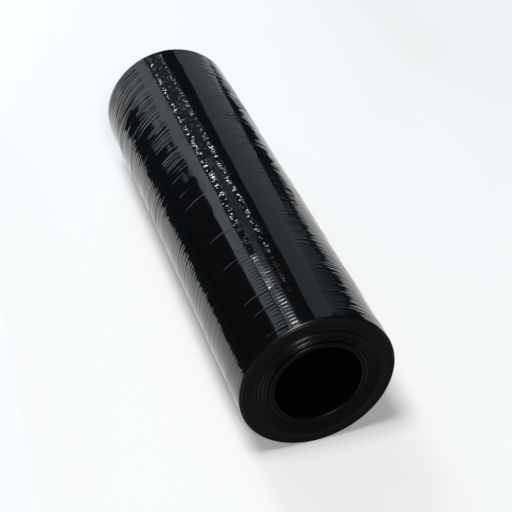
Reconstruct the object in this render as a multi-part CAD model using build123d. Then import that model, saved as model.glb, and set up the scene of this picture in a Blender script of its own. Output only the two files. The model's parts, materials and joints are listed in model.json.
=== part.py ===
from build123d import *

import os
from math import pi, sin, sqrt

# Roll of black stretch film wound on a hollow core, lying on its side.
# The frame is in millimetres: +Y runs along the roll, +Z is up, and the origin is the
# middle of the flat spot that the roll's own weight presses into its lowest turns.

# Film
film_width = 457.0
film_length = 457200.0
film_thickness = 0.019

# Core tube
core_bore = 76.2
core_wall = 4.2
core_overhang = 1.5
core_inner_chamfer = 1.2
core_outer_chamfer = 0.6

# Turns on the end faces: the web wanders sideways while it is wound, so bands of turns stand
# proud at one end and are sunk by as much at the other
turn_band = 1.15
wander_slow_wave = 11.0
wander_slow_height = 0.30
wander_quick_wave = 2.7
wander_quick_height = 0.24
rim_chamfer = 1.3

# Ridges round the outside, where thicker lanes of the web build up turn on turn
ridge_step = 46.0
ridge_wave = 150.0
ridge_beat = 97.0
ridge_height = 0.2

# Depth of the flat spot
flat_spot_depth = 0.5

# Sizes that follow
core_radius = core_bore / 2 + core_wall
core_length = film_width + 2 * core_overhang
film_section = film_length * film_thickness
roll_radius = sqrt(core_radius**2 + film_section / pi)
axis_height = roll_radius - flat_spot_depth


def evenly(start, end, step):
    """Values from start to end, both included, about one step apart."""
    count = max(1, round((end - start) / step))
    return [start + (end - start) * i / count for i in range(count + 1)]


def web_wander(radius):
    """How far the web lies to the rear while the roll has this radius."""
    wound = radius - core_radius
    slow = wander_slow_height * sin(2 * pi * wound / wander_slow_wave)
    quick = wander_quick_height * sin(2 * pi * wound / wander_quick_wave)
    return slow + quick


def ridge(y):
    """How far the outermost turn stands out at this place along the web."""
    swell = (sin(2 * pi * y / ridge_wave) + sin(2 * pi * y / ridge_beat)) / 2
    fade_to_rim = min(1, (film_width / 2 - abs(y)) / ridge_step)
    return ridge_height * swell * fade_to_rim


def film_roll():
    """All the turns of film as one solid, with the section of the wound web."""
    half = film_width / 2
    face_end = roll_radius - rim_chamfer
    bands = evenly(core_radius, face_end, turn_band)
    front_face = [(r, -half + web_wander(r)) for r in bands]
    rear_face = [(r, half + web_wander(r)) for r in reversed(bands)]

    side_start = front_face[-1][1] + rim_chamfer
    side_end = rear_face[0][1] - rim_chamfer
    lanes = evenly(side_start, side_end, ridge_step)
    side = [(roll_radius + ridge(y), y) for y in lanes]

    section = make_face(Polyline(*front_face, *side, *rear_face, close=True))
    wound = Pos(0, 0, axis_height) * revolve(section, axis=Axis.Y)
    return split(wound, bisect_by=Plane.XY, keep=Keep.TOP)


def core_tube():
    """Hollow tube that the film is wound on, with its edges broken at both ends."""
    wall = Pos(core_bore / 2 + core_wall / 2, 0) * Rectangle(core_wall, core_length)
    inner_edges = wall.vertices().sort_by(Axis.X)[:2]
    wall = chamfer(inner_edges, core_inner_chamfer)
    outer_edges = wall.vertices().sort_by(Axis.X)[-2:]
    wall = chamfer(outer_edges, core_outer_chamfer)
    return Pos(0, 0, axis_height) * revolve(wall, axis=Axis.Y)


os.makedirs("parts", exist_ok=True)
export_step(film_roll(), "parts/film_roll.step")
export_step(core_tube(), "parts/core_tube.step")
print("roll diameter", round(2 * roll_radius, 2), "axis height", round(axis_height, 3))
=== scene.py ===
import json
from math import pi, radians

import bpy
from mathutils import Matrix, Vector


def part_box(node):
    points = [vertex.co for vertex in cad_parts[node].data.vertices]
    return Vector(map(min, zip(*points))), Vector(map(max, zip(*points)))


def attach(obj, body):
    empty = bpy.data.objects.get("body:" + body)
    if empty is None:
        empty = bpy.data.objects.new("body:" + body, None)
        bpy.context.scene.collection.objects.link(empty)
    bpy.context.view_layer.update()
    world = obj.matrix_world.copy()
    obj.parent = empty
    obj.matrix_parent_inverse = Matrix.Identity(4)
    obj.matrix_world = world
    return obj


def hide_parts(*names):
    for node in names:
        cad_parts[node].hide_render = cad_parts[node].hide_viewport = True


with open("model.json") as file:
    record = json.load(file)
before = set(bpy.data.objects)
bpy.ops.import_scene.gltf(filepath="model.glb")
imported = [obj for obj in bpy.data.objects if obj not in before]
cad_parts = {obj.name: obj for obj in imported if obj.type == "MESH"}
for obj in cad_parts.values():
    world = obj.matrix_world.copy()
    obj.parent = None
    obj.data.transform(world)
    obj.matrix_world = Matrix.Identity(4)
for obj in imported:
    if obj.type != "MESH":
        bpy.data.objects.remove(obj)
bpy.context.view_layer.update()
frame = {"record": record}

# A roll of black stretch film on its hollow core, lying on a white studio floor.
# Lengths are in metres: a size in millimetres is written as a number times MM.

MM = 0.001

# Sizes of the roll, taken from the frame. The lanes round the outside and the turns that wandered sideways
# stand out of the plain roll by the two heights.
CORE_LOW, CORE_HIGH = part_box("core_tube")
FILM_LOW, FILM_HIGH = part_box("film_roll")
BORE = next(mount for mount in frame["record"]["mounts"] if mount["name"] == "spindle_bore")
AXIS_HEIGHT = BORE["pos_m"][2]
CORE_RADIUS = (CORE_HIGH.x - CORE_LOW.x) / 2
BORE_RADIUS = BORE["dims"]["r_mm"] * MM
LANE_HEIGHT = 0.1 * MM
ROLL_RADIUS = (FILM_HIGH.x - FILM_LOW.x) / 2 - LANE_HEIGHT
WANDER_HEIGHT = 0.6 * MM
HALF_WIDTH = (FILM_HIGH.y - FILM_LOW.y) / 2 - WANDER_HEIGHT

# Camera of the photograph: place, turn to the right, tilt down, and lens and frame width in millimetres
CAMERA_PLACE = (-0.2811, -0.9135, 0.7688)
CAMERA_PAN = radians(18.41)
CAMERA_TILT = radians(37.77)
CAMERA_LENS = 88.16
CAMERA_FRAME = 36.0

# Colours, as they look under plain light
FILM_BLACK = "#060607"
FILM_EDGE_BLACK = "#08080a"
CORE_BLACK = "#040404"
FLOOR_WHITE = "#f8f8f8"
LAMP_WHITE = "#ffffff"
PANEL_COOL = "#e4f0fb"
STRIP_WHITE = "#f0f8ff"
ROOM_DARK = "#2c353a"
LEFT_CARD_GREY = "#424d53"
RIGHT_CARD_GREY = "#272e32"

# Noise runs from 0 to 1, so this is where it neither raises nor lowers
NOISE_MIDDLE = 0.5
MATH = "ShaderNodeMath"


def linear(hex_colour):
    """An sRGB hex colour as linear red, green, blue and alpha."""
    channels = [int(hex_colour[i:i + 2], 16) / 255 for i in (1, 3, 5)]
    return [c / 12.92 if c <= 0.04045 else ((c + 0.055) / 1.055) ** 2.4 for c in channels] + [1.0]


def per_metre(sizes):
    """How many cells of a pattern lie in a metre each way, from the sizes of one cell."""
    return tuple(1 / size for size in sizes)


def add(tree, kind, inputs=None, **settings):
    """Adds one node, with its settings, and fills its inputs with values or links."""
    node = tree.nodes.new(kind)
    for name, value in settings.items():
        setattr(node, name, value)
    for key, value in (inputs or {}).items():
        if isinstance(value, bpy.types.Node):
            value = value.outputs[0]
        if isinstance(value, bpy.types.NodeSocket):
            tree.links.new(value, node.inputs[key])
        else:
            node.inputs[key].default_value = value
    return node


# Materials

# Refraction of polyethylene
PLASTIC_IOR = 1.5

# Flat facets where the tail of the web was pressed down, in two rows along the roll: wide ticks near the
# front and dots further back. They are drawn as coarse as they need to be to show.
TICK_WIDTH = 3.4 * MM
DOT_WIDTH = 1.4 * MM
FACET_LENGTH = 0.9 * MM
# Slopes of the facets each way, and how far the dull ones lean to the rear
FACET_TILT = (0.05, 0.03, 0.05)
DULL_LEAN = (0.0, 0.16, 0.0)
# Middle and half width of the rows, and of the field of dots round them, as angles from the top of the roll
# to the right, and where they start along it
FACET_ROWS = ((radians(-19.5), radians(2.6)), (radians(-8.7), radians(2.0)))
FACET_FIELD = (radians(-14.0), radians(8.0))
ROWS_START = -130 * MM
FIELD_START = 20 * MM
# Facets lie in steps along the roll, and only those in this share of a step can be bright
TICK_PITCH = 4.1 * MM
TICK_SHARE = 0.5
# Bright facets come in clumps: the clumps' size, the noise between and inside them, the share of bright
# facets there, and how much of that is left in the field
CLUMP_SIZE = 5 * MM
CLUMP_LIMITS = (0.45, 0.55)
BRIGHT_SHARES = (0.02, 0.8)
FIELD_SHARE = 0.25

# Patches of haze, longer round the roll than along it: size, the noise between and inside them, and roughness
HAZE_SIZE = (24 * MM, 8 * MM, 24 * MM)
HAZE_LIMITS = (0.35, 0.65)
HAZE_ROUGHNESS = (0.05, 0.1)
# The rim is frayed: how far from the end this starts and is full, and how rough it is
FRAY_START = 2 * MM
FRAY_FULL = 1 * MM
FRAY_ROUGHNESS = 0.26

# Rings on the cut edges: a turn is only 0.019 mm thick, so they are drawn coarser, until they show
RING_WIDTH = 0.7 * MM
RING_DEPTH = 0.08 * MM
# Draw lines on the core: width, length along the tube, and depth
DRAW_LINE = (1.5 * MM, 75 * MM, 1.5 * MM)
DRAW_DEPTH = 0.1 * MM


def new_material(name):
    """An empty node material and its tree."""
    material = bpy.data.materials.new(name)
    material.use_nodes = True
    material.node_tree.nodes.clear()
    return material, material.node_tree


def stretch_film():
    """Black polyethylene film, blown and wound under tension: a clear gloss over a black body that mirrors
    the room, dulled by patches of haze, with facets that flash where the tail of the web was pressed down."""
    material, tree = new_material("black polyethylene film, blown and wound")
    place = add(tree, "ShaderNodeTexCoord").outputs["Object"]
    across, along, height = add(tree, "ShaderNodeSeparateXYZ", {0: place}).outputs
    rise = add(tree, MATH, {0: height, 1: AXIS_HEIGHT}, operation="SUBTRACT")
    angle = add(tree, MATH, {0: across, 1: rise}, operation="ARCTAN2")

    # Where the web was pressed down
    inside = []
    for middle, reach in (*FACET_ROWS, FACET_FIELD):
        away = add(tree, MATH, {0: angle, 1: middle}, operation="SUBTRACT")
        away = add(tree, MATH, {0: away}, operation="ABSOLUTE")
        inside.append(add(tree, MATH, {0: away, 1: reach}, operation="LESS_THAN"))
    first_row, second_row, round_rows = inside
    rows = add(tree, MATH, {0: first_row, 1: second_row}, operation="MAXIMUM")
    past_start = add(tree, MATH, {0: along, 1: ROWS_START}, operation="GREATER_THAN")
    rows = add(tree, MATH, {0: rows, 1: past_start}, operation="MULTIPLY")
    rear = add(tree, MATH, {0: along, 1: FIELD_START}, operation="GREATER_THAN")
    field = add(tree, MATH, {0: round_rows, 1: rear}, operation="MULTIPLY")
    pressed = add(tree, MATH, {0: rows, 1: field}, operation="MAXIMUM")

    # Each facet's own slope
    width = add(tree, "ShaderNodeMapRange",
                {"Value": rear, "To Min": 1 / TICK_WIDTH, "To Max": 1 / DOT_WIDTH})
    cells = add(tree, "ShaderNodeCombineXYZ", {"X": width, "Y": 1 / FACET_LENGTH, "Z": width})
    cells = add(tree, "ShaderNodeVectorMath", {0: place, 1: cells}, operation="MULTIPLY")
    chance = add(tree, "ShaderNodeTexVoronoi", {"Vector": cells, "Scale": 1.0}).outputs["Color"]
    facet = add(tree, "ShaderNodeVectorMath", {0: chance, 1: [NOISE_MIDDLE] * 3}, operation="SUBTRACT")
    facet = add(tree, "ShaderNodeVectorMath", {0: facet, 1: FACET_TILT}, operation="MULTIPLY")

    # Dull facets lean to the rear, and the bright ones lie in clumps and steps
    clump = add(tree, "ShaderNodeTexNoise", {"Vector": place, "Scale": 1 / CLUMP_SIZE, "Detail": 1.0})
    clump = add(tree, "ShaderNodeMapRange",
                {"Value": clump, "From Min": CLUMP_LIMITS[0], "From Max": CLUMP_LIMITS[1],
                 "To Min": BRIGHT_SHARES[0], "To Max": BRIGHT_SHARES[1]})
    sparse = add(tree, "ShaderNodeMapRange", {"Value": rows, "To Min": FIELD_SHARE, "To Max": 1.0})
    bright = add(tree, MATH, {0: clump, 1: sparse}, operation="MULTIPLY")
    chance = add(tree, "ShaderNodeSeparateXYZ", {0: chance}).outputs["Z"]
    dull = add(tree, MATH, {0: chance, 1: bright}, operation="GREATER_THAN")
    step = add(tree, MATH, {0: along, 1: 1 / TICK_PITCH, 2: clump}, operation="MULTIPLY_ADD")
    step = add(tree, MATH, {0: step}, operation="FRACT")
    between = add(tree, MATH, {0: step, 1: TICK_SHARE}, operation="GREATER_THAN")
    dull = add(tree, MATH, {0: dull, 1: between}, operation="MAXIMUM")
    lean = add(tree, "ShaderNodeVectorMath", {0: DULL_LEAN, "Scale": dull}, operation="SCALE")
    lean = add(tree, "ShaderNodeVectorMath", {0: lean, "Scale": pressed}, operation="SCALE")
    facet = add(tree, "ShaderNodeVectorMath", {0: facet, "Scale": pressed}, operation="SCALE")
    tilt = add(tree, "ShaderNodeVectorMath", {0: facet, 1: lean}, operation="ADD")
    tilt = add(tree, "ShaderNodeVectorTransform", {0: tilt}, convert_from="OBJECT", convert_to="WORLD")
    normal = add(tree, "ShaderNodeNewGeometry").outputs["Normal"]
    normal = add(tree, "ShaderNodeVectorMath", {0: normal, 1: tilt}, operation="ADD")
    normal = add(tree, "ShaderNodeVectorMath", {0: normal}, operation="NORMALIZE")

    # Haze and the frayed rim
    from_middle = add(tree, MATH, {0: along}, operation="ABSOLUTE")
    frayed = add(tree, "ShaderNodeMapRange",
                 {"Value": from_middle, "From Min": HALF_WIDTH - FRAY_START,
                  "From Max": HALF_WIDTH - FRAY_FULL, "To Min": 0.0, "To Max": FRAY_ROUGHNESS})
    haze = add(tree, "ShaderNodeMapping", {"Vector": place, "Scale": per_metre(HAZE_SIZE)})
    haze = add(tree, "ShaderNodeTexNoise", {"Vector": haze, "Scale": 1.0, "Detail": 3.0})
    haze = add(tree, "ShaderNodeMapRange",
               {"Value": haze, "From Min": HAZE_LIMITS[0], "From Max": HAZE_LIMITS[1],
                "To Min": HAZE_ROUGHNESS[0], "To Max": HAZE_ROUGHNESS[1]})
    roughness = add(tree, MATH, {0: frayed, 1: haze}, operation="MAXIMUM")
    gloss = add(tree, "ShaderNodeBsdfPrincipled",
                {"Base Color": linear(FILM_BLACK), "Roughness": roughness, "IOR": PLASTIC_IOR,
                 "Normal": normal})
    add(tree, "ShaderNodeOutputMaterial", {"Surface": gloss})
    return material


def film_edges():
    """Cut edges of the turns, slit and wound: a dull black face with fine rings, as each turn lies a little
    further in or out than the next."""
    material, tree = new_material("black polyethylene film, slit edges of the turns")
    place = add(tree, "ShaderNodeTexCoord").outputs["Object"]
    from_axis = add(tree, "ShaderNodeVectorMath", {0: place, 1: (0, 0, AXIS_HEIGHT)}, operation="SUBTRACT")
    radial = add(tree, "ShaderNodeVectorMath", {0: from_axis, 1: (1, 0, 1)}, operation="MULTIPLY")
    radius = add(tree, "ShaderNodeVectorMath", {0: radial}, operation="LENGTH").outputs["Value"]
    ring = add(tree, MATH, {0: radius, 1: 1 / RING_WIDTH}, operation="MULTIPLY")
    rings = add(tree, "ShaderNodeTexNoise", {"W": ring, "Scale": 1.0, "Detail": 2.0}, noise_dimensions="1D")
    bump = add(tree, "ShaderNodeBump", {"Height": rings, "Strength": 1.0, "Distance": RING_DEPTH})
    face = add(tree, "ShaderNodeBsdfPrincipled",
               {"Base Color": linear(FILM_EDGE_BLACK), "Roughness": 0.42, "IOR": PLASTIC_IOR,
                "Specular IOR Level": 0.035, "Normal": bump})
    add(tree, "ShaderNodeOutputMaterial", {"Surface": face})
    return material


def core_plastic():
    """Black polyethylene tube, extruded: nearly dull, with faint draw lines along the tube."""
    material, tree = new_material("black polyethylene, extruded")
    place = add(tree, "ShaderNodeTexCoord").outputs["Object"]
    drawn = add(tree, "ShaderNodeMapping", {"Vector": place, "Scale": per_metre(DRAW_LINE)})
    lines = add(tree, "ShaderNodeTexNoise", {"Vector": drawn, "Scale": 1.0, "Detail": 2.0})
    bump = add(tree, "ShaderNodeBump", {"Height": lines, "Strength": 0.4, "Distance": DRAW_DEPTH})
    tube = add(tree, "ShaderNodeBsdfPrincipled",
               {"Base Color": linear(CORE_BLACK), "Roughness": 0.5, "IOR": PLASTIC_IOR,
                "Specular IOR Level": 0.03, "Normal": bump})
    add(tree, "ShaderNodeOutputMaterial", {"Surface": tube})
    return material


def core_lip():
    """Black polyethylene, rubbed smooth at the edges of the tube: thin lines of light along them."""
    material, tree = new_material("black polyethylene, rubbed edge")
    lip = add(tree, "ShaderNodeBsdfPrincipled",
              {"Base Color": linear(CORE_BLACK), "Roughness": 0.3, "IOR": PLASTIC_IOR,
               "Specular IOR Level": 0.3})
    add(tree, "ShaderNodeOutputMaterial", {"Surface": lip})
    return material


def floor_paper():
    """White studio paper, uncoated: matt, so that it takes soft shadows and mirrors nothing."""
    material, tree = new_material("white studio paper, uncoated")
    paper = add(tree, "ShaderNodeBsdfPrincipled",
                {"Base Color": linear(FLOOR_WHITE), "Roughness": 0.9, "Specular IOR Level": 0.1})
    add(tree, "ShaderNodeOutputMaterial", {"Surface": paper})
    return material


# Geometry nodes

SHARP_ANGLE = radians(40)


def new_tree(name, sizes, result):
    """An empty geometry nodes tree with one input for each size and one output, and the inputs' sockets."""
    tree = bpy.data.node_groups.new(name, "GeometryNodeTree")
    for label, size in sizes.items():
        socket = tree.interface.new_socket(label, in_out="INPUT", socket_type="NodeSocketFloat")
        socket.default_value = size
    tree.interface.new_socket(result, in_out="OUTPUT", socket_type="NodeSocketGeometry")
    return tree, add(tree, "NodeGroupInput").outputs


def made_from(tree, sizes, name):
    """A piece with the plain mesh that a geometry nodes tree makes from its sizes."""
    maker = bpy.data.objects.new("maker", bpy.data.meshes.new("maker"))
    bpy.context.scene.collection.objects.link(maker)
    modifier = maker.modifiers.new("made", "NODES")
    modifier.node_group = tree
    for socket in tree.interface.items_tree:
        if socket.in_out == "INPUT":
            modifier[socket.identifier] = sizes[socket.name]
    evaluated = maker.evaluated_get(bpy.context.evaluated_depsgraph_get())
    mesh = bpy.data.meshes.new_from_object(evaluated)
    bpy.data.objects.remove(maker)
    mesh.name = name
    # Flat sheets come with an empty material slot
    for slot in reversed(range(len(mesh.materials))):
        if mesh.materials[slot] is None:
            mesh.materials.pop(index=slot)
    mesh.shade_smooth()
    mesh.set_sharp_from_angle(angle=SHARP_ANGLE)
    piece = bpy.data.objects.new(name, mesh)
    bpy.context.scene.collection.objects.link(piece)
    return piece


# Film

FILM_SIZES = {
    "Half width": HALF_WIDTH,
    "Core radius": CORE_RADIUS,
    "Roll radius": ROLL_RADIUS,
    "Axis height": AXIS_HEIGHT,
    "Rim radius": 1.5 * MM,
    "Wander height": WANDER_HEIGHT,
    "Edge height": 0.38 * MM,
    "Core gap": 1.2 * MM,
    "Lane height": LANE_HEIGHT,
    "Crease pitch": 4.4 * MM,
    "Crease height": 0.24 * MM,
    "Whisker height": 0.16 * MM,
    "Sag height": 0.4 * MM,
    "Rib pitch": 4.1 * MM,
    "Rib height": 0.1 * MM,
}
ROUND_STEPS = 96
SIDE_STEPS = 760
RIM_STEPS = 5
MERGE_DISTANCE = 0.002 * MM
# Film faces lean less than this to the end, as a share of the normal, and cut edges more
OUTER_LEAN = 0.75
# The lowest place that the film may take: the floor, and a metre across and along, which it never reaches
LOWEST_PLACE = (-1.0, -1.0, 0.0)

# Bands of turns on the end faces: each has a row of points on its inner and on its outer edge, and a face
# over this share of it
TURN_BANDS = 36
BAND_ROWS = 2
END_STEPS = BAND_ROWS * TURN_BANDS - 1
BAND_FACE = 0.75
# Bands have whole numbers, so half a band parts one from the next
HALF_BAND = 0.5
# Bands in one slow wander, how rare the bands that stand far out are, and where the turns get tighter towards
# the rim, as shares of the bands, and how far the edges stand out there
WANDER_BANDS = 6.25
UNEVEN_POWER = 2.0
TIGHT_TURNS = (0.4, 0.7)
TIGHT_EDGES = 0.4

# Zones of the outer turn, each from where it begins to where it is full. Angles run from the top of the roll,
# to the right as seen from the front, and lengths run to the rear from the middle.
SLACK_LEFT = (radians(-23), radians(-30))
SLACK_RIGHT = (radians(12), radians(28))
SLACK_LOW = (radians(-50), radians(-64))
SLACK_HATCH = (radians(-60), radians(-71))
SLACK_REAR = (-5 * MM, 40 * MM)
RIBS_FROM_LEFT = (radians(-33), radians(-26))
RIBS_FROM_RIGHT = (radians(-10), radians(-14))
RIBS_FROM_REAR = (-115 * MM, -140 * MM)

# How slack the web is in these zones: high and low on the left at the rear, on the right, in the hatch low on
# the left, on the tight rest, and at most
HIGH_SLACK = 1.25
LOW_SLACK = 0.3
RIGHT_SLACK = 1.4
HATCH_SLACK = 1.4
REST_SLACK = 0.05
MOST_SLACK = 1.3

# Slack areas, and the short patches in them that are stretched round the roll: size, the noise between and
# inside them, and the least or most slack that they leave
AREA_SIZE = 40 * MM
AREA_LIMITS = (0.38, 0.6)
AREA_LEAST = 0.25
PATCH_SIZE = (120 * MM, 8 * MM, 120 * MM)
PATCH_LIMITS = (0.35, 0.65)
PATCH_MOST = 1.3

# Creases and ribs run round the roll: the size of the places where they stray, by how many pitches, and the
# share of the pitch over which they climb
STRAY_SIZE = (90 * MM, 14 * MM, 90 * MM)
CREASE_STRAY = 4.0
RIB_STRAY = 0.8
CREASE_CLIMB = 0.25
RIB_CLIMB = 0.35
# Single raised wrinkles: size, and the noise at their foot and crest
WHISKER_SIZE = (45 * MM, 3 * MM, 45 * MM)
WHISKER_LIMITS = (0.64, 0.8)
# Width of the lanes, size of the sags, and how far from the rim all this starts to fade out
LANE_WIDTH = 24 * MM
SAG_SIZE = 30 * MM
RIM_FADE = 5 * MM


def roll_up(tree, sizes, rows, radius_and_along):
    """A flat sheet, 1 by 1 round its middle, bent round the axis: radius_and_along gives both from the share
    of its height."""
    sheet = add(tree, "GeometryNodeMeshGrid",
                {"Size X": 1.0, "Size Y": 1.0, "Vertices X": ROUND_STEPS + 1, "Vertices Y": rows + 1})
    flat = add(tree, "ShaderNodeSeparateXYZ", {0: add(tree, "GeometryNodeInputPosition")})
    angle = add(tree, MATH, {0: flat.outputs["X"], 1: 2 * pi}, operation="MULTIPLY")
    share = add(tree, MATH, {0: flat.outputs["Y"], 1: 0.5}, operation="ADD")
    radius, along = radius_and_along(share)
    sine = add(tree, MATH, {0: angle}, operation="SINE")
    cosine = add(tree, MATH, {0: angle}, operation="COSINE")
    across = add(tree, MATH, {0: sine, 1: radius}, operation="MULTIPLY")
    upward = add(tree, MATH, {0: cosine, 1: radius, 2: sizes["Axis height"]}, operation="MULTIPLY_ADD")
    place = add(tree, "ShaderNodeCombineXYZ", {"X": across, "Y": along, "Z": upward})
    return add(tree, "GeometryNodeSetPosition", {"Geometry": sheet, "Position": place})


def plain_roll(tree, sizes):
    """The wound web without its creases: outer turn, both end faces, both rims and the wall on the core."""
    straight = add(tree, MATH, {0: sizes["Half width"], 1: sizes["Rim radius"]}, operation="SUBTRACT")
    flat_end = add(tree, MATH, {0: sizes["Roll radius"], 1: sizes["Rim radius"]}, operation="SUBTRACT")

    def outer_turn(share):
        start = add(tree, MATH, {0: straight, 1: -1.0}, operation="MULTIPLY")
        along = add(tree, "ShaderNodeMapRange", {"Value": share, "To Min": start, "To Max": straight})
        return sizes["Roll radius"], along

    def end_face(share, side):
        row = add(tree, MATH, {0: share, 1: END_STEPS}, operation="MULTIPLY")
        row = add(tree, MATH, {0: row}, operation="ROUND")
        band = add(tree, MATH, {0: row, 1: BAND_ROWS}, operation="DIVIDE")
        band = add(tree, MATH, {0: band}, operation="FLOOR")
        outer_edge = add(tree, MATH, {0: band, 1: -BAND_ROWS, 2: row}, operation="MULTIPLY_ADD")
        reach = add(tree, MATH, {0: outer_edge, 1: BAND_FACE, 2: band}, operation="MULTIPLY_ADD")
        radius = add(tree, "ShaderNodeMapRange",
                     {"Value": reach, "From Max": TURN_BANDS - 1 + BAND_FACE,
                      "To Min": sizes["Core radius"], "To Max": flat_end})
        slow = add(tree, "ShaderNodeTexNoise", {"W": band, "Scale": 1 / WANDER_BANDS, "Detail": 0.0},
                   noise_dimensions="1D")
        wander = add(tree, MATH, {0: slow, 1: NOISE_MIDDLE}, operation="SUBTRACT")
        wander = add(tree, MATH, {0: wander, 1: sizes["Wander height"]}, operation="MULTIPLY")
        uneven = add(tree, "ShaderNodeTexWhiteNoise", {"W": band}, noise_dimensions="1D").outputs["Value"]
        uneven = add(tree, MATH, {0: uneven, 1: UNEVEN_POWER}, operation="POWER")
        proud = add(tree, MATH, {0: uneven, 1: sizes["Edge height"]}, operation="MULTIPLY")
        proud = add(tree, MATH, {0: proud, 1: outer_edge}, operation="MULTIPLY")
        loose = add(tree, "ShaderNodeMapRange",
                    {"Value": band, "From Min": TIGHT_TURNS[0] * TURN_BANDS,
                     "From Max": TIGHT_TURNS[1] * TURN_BANDS, "To Min": 1.0, "To Max": TIGHT_EDGES})
        proud = add(tree, MATH, {0: proud, 1: loose}, operation="MULTIPLY")
        wander = add(tree, MATH, {0: wander, 1: proud}, operation="SUBTRACT")
        past_core = add(tree, MATH, {0: band, 1: HALF_BAND}, operation="GREATER_THAN")
        before_rim = add(tree, MATH, {0: band, 1: TURN_BANDS - 1 - HALF_BAND}, operation="LESS_THAN")
        wander = add(tree, MATH, {0: wander, 1: past_core}, operation="MULTIPLY")
        wander = add(tree, MATH, {0: wander, 1: before_rim}, operation="MULTIPLY")
        along = add(tree, MATH, {0: sizes["Half width"], 1: side, 2: wander}, operation="MULTIPLY_ADD")
        gap = add(tree, MATH, {0: sizes["Core gap"], 1: -side}, operation="MULTIPLY")
        sunk = add(tree, "ShaderNodeMapRange", {"Value": past_core, "To Min": gap, "To Max": 0.0})
        along = add(tree, MATH, {0: along, 1: sunk}, operation="ADD")
        return radius, along

    def rim(share, side):
        bend = add(tree, MATH, {0: share, 1: pi / 2}, operation="MULTIPLY")
        out = add(tree, MATH, {0: bend}, operation="SINE")
        back = add(tree, MATH, {0: bend}, operation="COSINE")
        radius = add(tree, MATH, {0: out, 1: sizes["Rim radius"], 2: flat_end}, operation="MULTIPLY_ADD")
        along = add(tree, MATH, {0: back, 1: sizes["Rim radius"], 2: straight}, operation="MULTIPLY_ADD")
        along = add(tree, MATH, {0: along, 1: side}, operation="MULTIPLY")
        return radius, along

    def core_side(share):
        rear = add(tree, MATH, {0: sizes["Half width"], 1: sizes["Core gap"]}, operation="SUBTRACT")
        front = add(tree, MATH, {0: rear, 1: -1.0}, operation="MULTIPLY")
        along = add(tree, "ShaderNodeMapRange", {"Value": share, "To Min": front, "To Max": rear})
        return sizes["Core radius"], along

    facing_out = add(tree, "GeometryNodeJoinGeometry")
    facing_in = add(tree, "GeometryNodeJoinGeometry")
    for sheet in (roll_up(tree, sizes, SIDE_STEPS, outer_turn),
                  roll_up(tree, sizes, END_STEPS, lambda share: end_face(share, -1.0)),
                  roll_up(tree, sizes, RIM_STEPS, lambda share: rim(share, -1.0))):
        tree.links.new(sheet.outputs[0], facing_out.inputs[0])
    for sheet in (roll_up(tree, sizes, 1, core_side),
                  roll_up(tree, sizes, END_STEPS, lambda share: end_face(share, 1.0)),
                  roll_up(tree, sizes, RIM_STEPS, lambda share: rim(share, 1.0))):
        tree.links.new(sheet.outputs[0], facing_in.inputs[0])
    flipped = add(tree, "GeometryNodeFlipFaces", {"Mesh": facing_in})
    whole = add(tree, "GeometryNodeJoinGeometry", {"Geometry": facing_out})
    tree.links.new(flipped.outputs[0], whole.inputs[0])
    return add(tree, "GeometryNodeMergeByDistance", {"Geometry": whole, "Distance": MERGE_DISTANCE})


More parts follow.
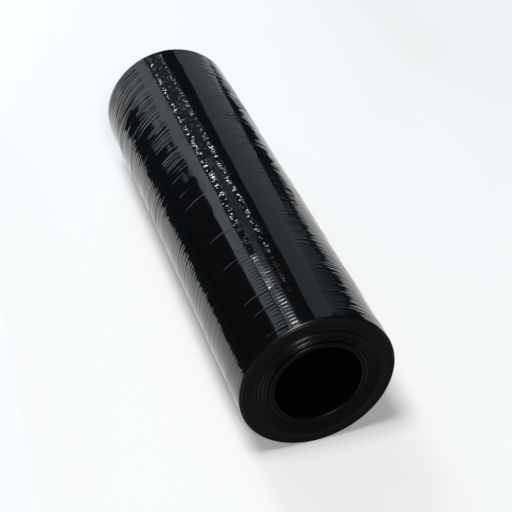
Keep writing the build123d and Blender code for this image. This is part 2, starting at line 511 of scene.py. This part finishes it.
def film_relief(tree, sizes):
    """How far each point of the outer turn moves, out from the axis, for what the slack web does there."""
    at = add(tree, "ShaderNodeSeparateXYZ", {0: add(tree, "GeometryNodeInputPosition")}).outputs
    rise = add(tree, MATH, {0: at["Z"], 1: sizes["Axis height"]}, operation="SUBTRACT")
    angle = add(tree, MATH, {0: at["X"], 1: rise}, operation="ARCTAN2")
    outward = add(tree, "ShaderNodeCombineXYZ", {"X": at["X"], "Z": rise})
    outward = add(tree, "ShaderNodeVectorMath", {0: outward}, operation="NORMALIZE")
    place = add(tree, "ShaderNodeCombineXYZ", {"X": at["X"], "Y": at["Y"], "Z": rise})

    # Zones
    angle_zones = (SLACK_LEFT, SLACK_RIGHT, SLACK_LOW, SLACK_HATCH, RIBS_FROM_LEFT, RIBS_FROM_RIGHT)
    left, right, low, hatch, rib_left, rib_right = [
        add(tree, "ShaderNodeMapRange", {"Value": angle, "From Min": begin, "From Max": full},
            interpolation_type="SMOOTHSTEP")
        for begin, full in angle_zones]
    rear, rib_rear = [
        add(tree, "ShaderNodeMapRange", {"Value": at["Y"], "From Min": begin, "From Max": full},
            interpolation_type="SMOOTHSTEP")
        for begin, full in (SLACK_REAR, RIBS_FROM_REAR)]

    # Slack of the web, in areas and patches
    rear_left = add(tree, MATH, {0: left, 1: rear}, operation="MULTIPLY")
    upper = add(tree, "ShaderNodeMapRange", {"Value": low, "To Min": HIGH_SLACK, "To Max": LOW_SLACK})
    rear_left = add(tree, MATH, {0: rear_left, 1: upper}, operation="MULTIPLY")
    slack = add(tree, MATH, {0: right, 1: RIGHT_SLACK, 2: rear_left}, operation="MULTIPLY_ADD")
    slack = add(tree, MATH, {0: hatch, 1: HATCH_SLACK, 2: slack}, operation="MULTIPLY_ADD")
    areas = add(tree, "ShaderNodeTexNoise", {"Vector": place, "Scale": 1 / AREA_SIZE, "Detail": 1.0})
    areas = add(tree, "ShaderNodeMapRange",
                {"Value": areas, "From Min": AREA_LIMITS[0], "From Max": AREA_LIMITS[1],
                 "To Min": AREA_LEAST})
    slack = add(tree, MATH, {0: slack, 1: areas}, operation="MULTIPLY")
    slack = add(tree, MATH, {0: slack, 1: REST_SLACK}, operation="ADD")
    patches = add(tree, "ShaderNodeVectorMath", {0: place, 1: per_metre(PATCH_SIZE)}, operation="MULTIPLY")
    patches = add(tree, "ShaderNodeTexNoise", {"Vector": patches, "Scale": 1.0, "Detail": 1.0})
    patches = add(tree, "ShaderNodeMapRange",
                  {"Value": patches, "From Min": PATCH_LIMITS[0], "From Max": PATCH_LIMITS[1],
                   "To Max": PATCH_MOST})
    slack = add(tree, MATH, {0: slack, 1: patches}, operation="MULTIPLY")
    slack = add(tree, MATH, {0: slack, 1: MOST_SLACK}, operation="MINIMUM")

    # Creases and ribs, in a saw wave that strays from its pitch
    stray = add(tree, "ShaderNodeVectorMath", {0: place, 1: per_metre(STRAY_SIZE)}, operation="MULTIPLY")
    stray = add(tree, "ShaderNodeTexNoise", {"Vector": stray, "Scale": 1.0, "Detail": 1.0})

    def saw(pitch, straying, climbing):
        # Climbs from 0 to 1 over a share of the pitch and drops back over the rest
        phase = add(tree, MATH, {0: at["Y"], 1: pitch}, operation="DIVIDE")
        phase = add(tree, MATH, {0: stray, 1: straying, 2: phase}, operation="MULTIPLY_ADD")
        tooth = add(tree, MATH, {0: phase}, operation="FRACT")
        climb = add(tree, MATH, {0: tooth, 1: climbing}, operation="DIVIDE")
        drop = add(tree, "ShaderNodeMapRange",
                   {"Value": tooth, "To Min": 1 / (1 - climbing), "To Max": 0.0})
        return add(tree, MATH, {0: climb, 1: drop}, operation="MINIMUM")

    crease = saw(sizes["Crease pitch"], CREASE_STRAY, CREASE_CLIMB)
    crease = add(tree, MATH, {0: crease, 1: slack}, operation="MULTIPLY")
    crease = add(tree, MATH, {0: crease, 1: sizes["Crease height"]}, operation="MULTIPLY")
    rib = saw(sizes["Rib pitch"], RIB_STRAY, RIB_CLIMB)
    for factor in (sizes["Rib height"], rib_rear, rib_left, rib_right):
        rib = add(tree, MATH, {0: rib, 1: factor}, operation="MULTIPLY")

    # Single raised wrinkles on both flanks
    whisker = add(tree, "ShaderNodeVectorMath", {0: place, 1: per_metre(WHISKER_SIZE)}, operation="MULTIPLY")
    whisker = add(tree, "ShaderNodeTexNoise", {"Vector": whisker, "Scale": 1.0, "Detail": 0.0})
    whisker = add(tree, "ShaderNodeMapRange",
                  {"Value": whisker, "From Min": WHISKER_LIMITS[0], "From Max": WHISKER_LIMITS[1]},
                  interpolation_type="SMOOTHSTEP")
    flanks = add(tree, MATH, {0: left, 1: right}, operation="ADD")
    whisker = add(tree, MATH, {0: whisker, 1: flanks}, operation="MULTIPLY")
    whisker = add(tree, MATH, {0: whisker, 1: sizes["Whisker height"]}, operation="MULTIPLY")

    # Lanes and sags
    lane = add(tree, "ShaderNodeTexNoise", {"W": at["Y"], "Scale": 1 / LANE_WIDTH, "Detail": 1.0},
               noise_dimensions="1D")
    lane = add(tree, MATH, {0: lane, 1: NOISE_MIDDLE}, operation="SUBTRACT")
    lane = add(tree, MATH, {0: lane, 1: sizes["Lane height"]}, operation="MULTIPLY")
    sag = add(tree, "ShaderNodeTexNoise", {"Vector": place, "Scale": 1 / SAG_SIZE, "Detail": 0.0})
    sag = add(tree, MATH, {0: sag, 1: NOISE_MIDDLE}, operation="SUBTRACT")
    relief = add(tree, MATH, {0: sag, 1: sizes["Sag height"], 2: lane}, operation="MULTIPLY_ADD")
    for form in (crease, whisker, rib):
        relief = add(tree, MATH, {0: relief, 1: form}, operation="ADD")

    # All of it fades out before the rim
    straight = add(tree, MATH, {0: sizes["Half width"], 1: sizes["Rim radius"]}, operation="SUBTRACT")
    from_middle = add(tree, MATH, {0: at["Y"]}, operation="ABSOLUTE")
    to_rim = add(tree, MATH, {0: straight, 1: from_middle}, operation="SUBTRACT")
    fade = add(tree, "ShaderNodeMapRange", {"Value": to_rim, "From Max": RIM_FADE},
               interpolation_type="SMOOTHSTEP")
    relief = add(tree, MATH, {0: relief, 1: fade}, operation="MULTIPLY")
    return add(tree, "ShaderNodeVectorMath", {0: outward, "Scale": relief}, operation="SCALE")


def film_tree(film, edges):
    """Geometry nodes for the wound web: the plain roll, its relief, and the flat spot that it rests on."""
    tree, sizes = new_tree("wound stretch film", FILM_SIZES, "Film")
    whole = plain_roll(tree, sizes)
    shift = film_relief(tree, sizes)
    whole = add(tree, "GeometryNodeSetPosition", {"Geometry": whole, "Offset": shift})
    # What would lie below the floor is pressed flat on it
    place = add(tree, "GeometryNodeInputPosition")
    settled = add(tree, "ShaderNodeVectorMath", {0: place, 1: LOWEST_PLACE}, operation="MAXIMUM")
    whole = add(tree, "GeometryNodeSetPosition", {"Geometry": whole, "Position": settled})
    lean = add(tree, "ShaderNodeSeparateXYZ", {0: add(tree, "GeometryNodeInputNormal")}).outputs["Y"]
    lean = add(tree, MATH, {0: lean}, operation="ABSOLUTE")
    outer = add(tree, "FunctionNodeCompare", {0: lean, 1: OUTER_LEAN}, operation="LESS_THAN")
    whole = add(tree, "GeometryNodeRealizeInstances", {"Geometry": whole})
    whole = add(tree, "GeometryNodeSetMaterial", {"Geometry": whole, "Material": edges})
    whole = add(tree, "GeometryNodeSetMaterial", {"Geometry": whole, "Selection": outer, "Material": film})
    add(tree, "NodeGroupOutput", {"Film": whole})
    return tree


def film_roll():
    """The wound film."""
    roll = made_from(film_tree(stretch_film(), film_edges()), FILM_SIZES, "wound_film")
    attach(roll, "root")
    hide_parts("film_roll")


# Core

CORE_SIZES = {
    "Bore radius": BORE_RADIUS,
    "Core radius": CORE_RADIUS,
    "Core length": CORE_HIGH.y - CORE_LOW.y,
    "Lip radius": 0.6 * MM,
    "Axis height": AXIS_HEIGHT,
}
CORE_STEPS = 128
LIP_STEPS = 4
# The rounded lips lean to the end by this share of the normal, and by so much more or less
LIP_LEAN = 0.5
LIP_LEAN_RANGE = 0.45


def core_tree(plastic, lip):
    """Geometry nodes for the core: the section of the wall, its edges rounded, swept round the axis."""
    tree, sizes = new_tree("core tube", CORE_SIZES, "Core")
    wall = add(tree, MATH, {0: sizes["Core radius"], 1: sizes["Bore radius"]}, operation="SUBTRACT")
    middle = add(tree, MATH, {0: wall, 1: 0.5, 2: sizes["Bore radius"]}, operation="MULTIPLY_ADD")
    section = add(tree, "GeometryNodeCurvePrimitiveQuadrilateral",
                  {"Width": wall, "Height": sizes["Core length"]})
    section = add(tree, "GeometryNodeFilletCurve",
                  {"Curve": section, "Radius": sizes["Lip radius"], "Count": LIP_STEPS, "Limit Radius": True},
                  mode="POLY")
    ring = add(tree, "GeometryNodeCurvePrimitiveCircle", {"Resolution": CORE_STEPS, "Radius": middle})
    tube = add(tree, "GeometryNodeCurveToMesh", {"Curve": ring, "Profile Curve": section})
    centre = add(tree, "ShaderNodeCombineXYZ", {"Z": sizes["Axis height"]})
    tube = add(tree, "GeometryNodeTransform",
               {"Geometry": tube, "Translation": centre, "Rotation": (pi / 2, 0, 0)})
    lean = add(tree, "ShaderNodeSeparateXYZ", {0: add(tree, "GeometryNodeInputNormal")}).outputs["Y"]
    lean = add(tree, MATH, {0: lean}, operation="ABSOLUTE")
    aslant = add(tree, "FunctionNodeCompare", {0: lean, 1: LIP_LEAN, "Epsilon": LIP_LEAN_RANGE},
                 operation="EQUAL")
    tube = add(tree, "GeometryNodeRealizeInstances", {"Geometry": tube})
    tube = add(tree, "GeometryNodeSetMaterial", {"Geometry": tube, "Material": plastic})
    tube = add(tree, "GeometryNodeSetMaterial", {"Geometry": tube, "Selection": aslant, "Material": lip})
    add(tree, "NodeGroupOutput", {"Core": tube})
    return tree


def core_tube():
    """The hollow core."""
    core = made_from(core_tree(core_plastic(), core_lip()), CORE_SIZES, "core")
    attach(core, "root")
    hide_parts("core_tube")


# Stage

FLOOR_REACH = 9.0
# Cards: name, foot of the front and of the rear edge, height of both edges, and colour
CARDS = (
    ("left_card", (-0.24, -0.3), (-0.2, 0.42), (0.11, 0.11), LEFT_CARD_GREY),
    ("right_card", (0.34, 0.33), (0.34, 0.71), (0.24, 0.06), RIGHT_CARD_GREY),
)


def floor():
    """White paper under the roll, wide enough to fill the photograph's view."""
    near, far = -FLOOR_REACH, FLOOR_REACH
    mesh = bpy.data.meshes.new("floor")
    mesh.from_pydata([(near, near, 0), (far, near, 0), (far, far, 0), (near, far, 0)], [], [(0, 1, 2, 3)])
    mesh.materials.append(floor_paper())
    paper = bpy.data.objects.new("floor", mesh)
    bpy.context.scene.collection.objects.link(paper)


def dark_card(name, front, rear, heights, colour):
    """A low card of dark, uncoated paper that the camera doesn't see and that casts no shadow: the film
    mirrors it and stays dark there."""
    corners = [(*front, 0), (*rear, 0), (*rear, heights[1]), (*front, heights[0])]
    mesh = bpy.data.meshes.new(name)
    mesh.from_pydata(corners, [], [(0, 1, 2, 3)])
    material, tree = new_material("dark grey card, uncoated")
    card = add(tree, "ShaderNodeBsdfDiffuse", {"Color": linear(colour)})
    add(tree, "ShaderNodeOutputMaterial", {"Surface": card})
    mesh.materials.append(material)
    flag = bpy.data.objects.new(name, mesh)
    flag.visible_camera = False
    flag.visible_shadow = False
    bpy.context.scene.collection.objects.link(flag)


def cards():
    """One card along the left flank, and one on the right behind the rear end."""
    for card in CARDS:
        dark_card(*card)


# Lights: two lamps over and in front of the roll, and panels for the film to mirror. The panels stand on a
# wall behind the roll, or hang under a roof there: the wall's distance and the roof's height
WALL = 2.7
ROOF = 1.5
# The wide lane panel hangs a little above the strips
HIGH_ROOF = 1.52
# The right panel fades out to the right in steps: start, width of a step, and each step's radiance
FADE_START = 2.1
FADE_STEP = 0.26
FADE_RADIANCES = (0.22, 0.14, 0.08)
# The left band's panels under the roof: front and rear end, and radiance
LEFT_BAND = ((1.2, 1.5, 0.9), (1.5, 1.8, 1.12), (1.8, 2.2, 1.3))
# Bright strips under the roof, in two rows with a dim one between them: place across, width, front and rear
# end, and radiance
STRIPS = (
    (-0.423, 0.24, 1.46, 1.68, 0.9),
    (-0.423, 0.2, 1.68, 1.76, 2.5),
    (-0.423, 0.2, 1.76, 1.93, 31.0),
    (-0.423, 0.06, 1.93, 2.6, 21.0),
    (0.142, 0.08, 1.46, 1.72, 15.0),
    (0.142, 0.16, 1.79, 1.84, 30.0),
    (0.142, 0.06, 1.84, 1.96, 15.0),
    (0.142, 0.04, 1.96, 2.55, 12.0),
    (-0.13, 0.2, 1.96, 2.55, 2.5),
)


def panel(name, centre, size, aim, radiance, colour=LAMP_WHITE):
    """A soft light: a flat rectangle that shines evenly towards the point it is aimed at."""
    light = bpy.data.lights.new(name, "AREA")
    light.shape = "RECTANGLE"
    light.size, light.size_y = size
    light.color = linear(colour)[:3]
    light.energy = radiance * pi * size[0] * size[1]
    lamp = bpy.data.objects.new(name, light)
    lamp.location = centre
    lamp.rotation_euler = (Vector(aim) - Vector(centre)).to_track_quat("-Z", "Y").to_euler()
    lamp.visible_camera = False
    bpy.context.scene.collection.objects.link(lamp)


def wall_panel(name, across, height, size, radiance, colour=PANEL_COOL):
    """A panel on the wall, facing front."""
    panel(name, (across, WALL, height), size, (across, 0, height), radiance, colour)


def roof_panel(name, across, width, front, rear, radiance, colour=PANEL_COOL, height=ROOF):
    """A panel under the roof, facing down."""
    middle = (front + rear) / 2
    panel(name, (across, middle, height), (width, rear - front), (across, middle, 0), radiance, colour)


def studio():
    """Soft light from above and in front, and pale panels and strips for the film to mirror."""
    under_roll = (0, 0, 0)
    panel("overhead", centre=(-1.2, -0.3, 5.0), size=(1.65, 1.65), aim=under_roll, radiance=16.9)
    panel("front_fill", centre=(-1.4, -6.9, 5.3), size=(2.6, 2.6), aim=under_roll, radiance=19.5)
    wall_panel("right_panel", across=1.5, height=1.6, size=(1.2, 3.2), radiance=0.39)
    for step, radiance in enumerate(FADE_RADIANCES):
        middle = FADE_START + FADE_STEP * (step + 0.5)
        wall_panel(f"right_fade_{step}", across=middle, height=1.35, size=(FADE_STEP, 1.7), radiance=radiance)
    wall_panel("left_panel_high", across=-0.99, height=1.5, size=(0.74, 0.6), radiance=1.03)
    wall_panel("left_panel_low", across=-1.125, height=0.6, size=(1.01, 1.2), radiance=1.03)
    for front, rear, radiance in LEFT_BAND:
        roof_panel("left_band", across=-0.91, width=0.6, front=front, rear=rear, radiance=radiance)
    wall_panel("header", across=-0.65, height=3.0, size=(0.9, 0.9), radiance=0.75)
    wall_panel("header_bar", across=-0.72, height=3.25, size=(1.0, 0.4), radiance=5.0, colour=STRIP_WHITE)
    wall_panel("header_top", across=-0.75, height=3.725, size=(0.6, 0.55), radiance=20.0, colour=STRIP_WHITE)
    wall_panel("low_panel", across=0.13, height=0.7, size=(1.4, 0.9), radiance=0.07)
    roof_panel("lane_panel", across=-0.15, width=0.5, front=1.5, rear=2.7, radiance=0.26, height=HIGH_ROOF)
    for strip in STRIPS:
        roof_panel("strip", *strip, colour=STRIP_WHITE)
    world = bpy.data.worlds.new("studio")
    world.use_nodes = True
    world.node_tree.nodes["Background"].inputs["Color"].default_value = linear(ROOM_DARK)
    bpy.context.scene.world = world


def camera():
    """The photograph's view."""
    lens = bpy.data.cameras.new("camera")
    lens.lens = CAMERA_LENS
    lens.sensor_width = CAMERA_FRAME
    view = bpy.data.objects.new("camera", lens)
    view.location = CAMERA_PLACE
    view.rotation_euler = (pi / 2 - CAMERA_TILT, 0, -CAMERA_PAN)
    bpy.context.scene.collection.objects.link(view)
    bpy.context.scene.camera = view


film_roll()
core_tube()
floor()
cards()
studio()
camera()
bpy.context.scene.view_settings.view_transform = "Standard"
